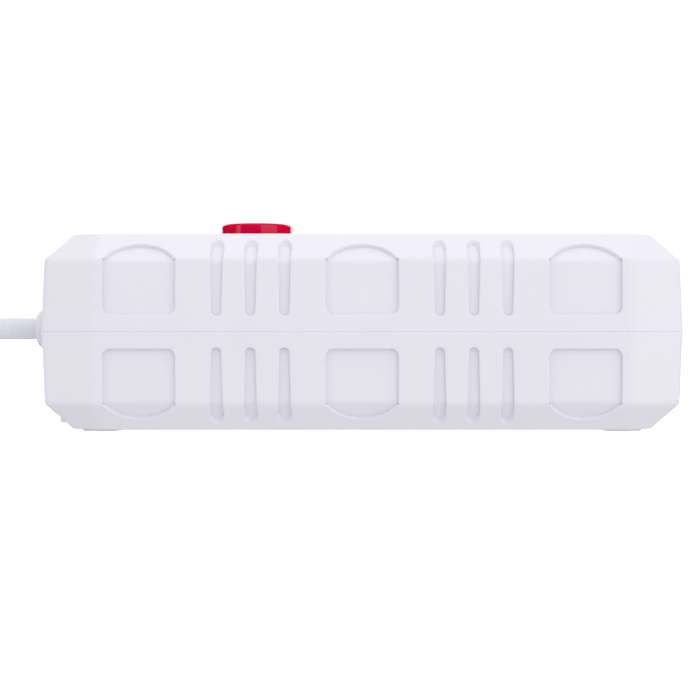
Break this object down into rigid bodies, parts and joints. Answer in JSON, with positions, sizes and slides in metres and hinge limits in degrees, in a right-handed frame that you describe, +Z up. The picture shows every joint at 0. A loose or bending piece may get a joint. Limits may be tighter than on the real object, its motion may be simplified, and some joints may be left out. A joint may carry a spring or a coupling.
{
  "type": "power strip",
  "caption": "Tall bevelled mains power strip with round earthed outlets on top, a red push button between them and a round lead with plug.",
  "frame": {"origin": "on the surface it stands on, under the middle of the case", "axes": "+Z up, +X along the case away from the lead, front long side at -Y"},
  "size_m": [0.3844, 0.0831, 0.0646],
  "materials": {
    "shell_white": "satin white, faintly lilac",
    "button_red": "glossy translucent red",
    "cord_grey": "matt light grey sheath",
    "bushing_white": "satin white, as the case",
    "insert_white": "satin white",
    "shutter_grey": "matt grey",
    "carrier_black": "matt black",
    "switch_black": "matt black",
    "brass": "bare brass",
    "steel": "zinc-plated steel",
    "spring_steel": "spring steel",
    "nickel": "nickel-plated brass",
    "silver": "silver contact metal",
    "foot_rubber": "light grey soft rubber",
    "lamp_glass": "clear glass",
    "wire_brown": "brown core insulation",
    "wire_blue": "blue core insulation",
    "wire_green": "green and yellow core insulation",
    "tie_white": "white plastic tie",
    "plug_grey": "matt light grey moulding"
  },
  "bodies": {
    "case": {"top_shell": "shell_white", "bottom_shell": "shell_white", "rubber_feet": "foot_rubber", "case_screws": "steel", "bar_carrier": "carrier_black", "carrier_screws": "steel", "live_bar": "brass", "neutral_bar": "brass", "earth_bar": "brass", "switch_housing": "switch_black", "switch_cover": "switch_black", "supply_contacts": "silver", "switched_contacts": "silver", "button_spring": "spring_steel", "cord_bushing": "bushing_white", "cord_lead": "cord_grey", "cord_tail": "cord_grey", "cord_coil": "cord_grey", "coil_tie": "tie_white", "live_wire": "wire_brown", "neutral_wire": "wire_blue", "earth_wire": "wire_green", "cord_saddle": "switch_black", "saddle_screws": "steel", "plug_boot": "plug_grey", "plug_body": "plug_grey", "plug_face": "plug_grey", "plug_pins": "nickel", "plug_earth_clips": "nickel", "outlet_insert_1": "insert_white", "shutter_spring_1": "spring_steel", "earth_bracket_1": "nickel", "outlet_insert_2": "insert_white", "shutter_spring_2": "spring_steel", "earth_bracket_2": "nickel", "outlet_insert_3": "insert_white", "shutter_spring_3": "spring_steel", "earth_bracket_3": "nickel"},
    "button": {"button_cap": "button_red", "switch_plunger": "switch_black", "contact_bridges": "silver", "neon_lamp": "lamp_glass"},
    "shutter_1_rotor": {"shutter_1": "shutter_grey"},
    "shutter_2_rotor": {"shutter_2": "shutter_grey"},
    "shutter_3_rotor": {"shutter_3": "shutter_grey"}
  },
  "joints": [
    {"name": "button_press", "type": "slide", "parent": "case", "child": "button", "axis": [0, 0, -1], "range_m": [0, 0.003], "stiffness_N_per_m": 400, "springref_m": -0.004, "deforming": ["button_spring"]},
    {"name": "shutter_1_turn", "type": "hinge", "parent": "case", "child": "shutter_1_rotor", "pos_m": [-0.0672, 0, 0.0392], "axis": [0, 0, 1], "range_deg": [0, 38], "stiffness_Nm_per_rad": 0.004, "springref_deg": -20.05, "deforming": ["shutter_spring_1"]},
    {"name": "shutter_2_turn", "type": "hinge", "parent": "case", "child": "shutter_2_rotor", "pos_m": [0, 0, 0.0392], "axis": [0, 0, 1], "range_deg": [0, 38], "stiffness_Nm_per_rad": 0.004, "springref_deg": -20.05, "deforming": ["shutter_spring_2"]},
    {"name": "shutter_3_turn", "type": "hinge", "parent": "case", "child": "shutter_3_rotor", "pos_m": [0.0672, 0, 0.0392], "axis": [0, 0, 1], "range_deg": [0, 38], "stiffness_Nm_per_rad": 0.004, "springref_deg": -20.05, "deforming": ["shutter_spring_3"]}
  ]
}
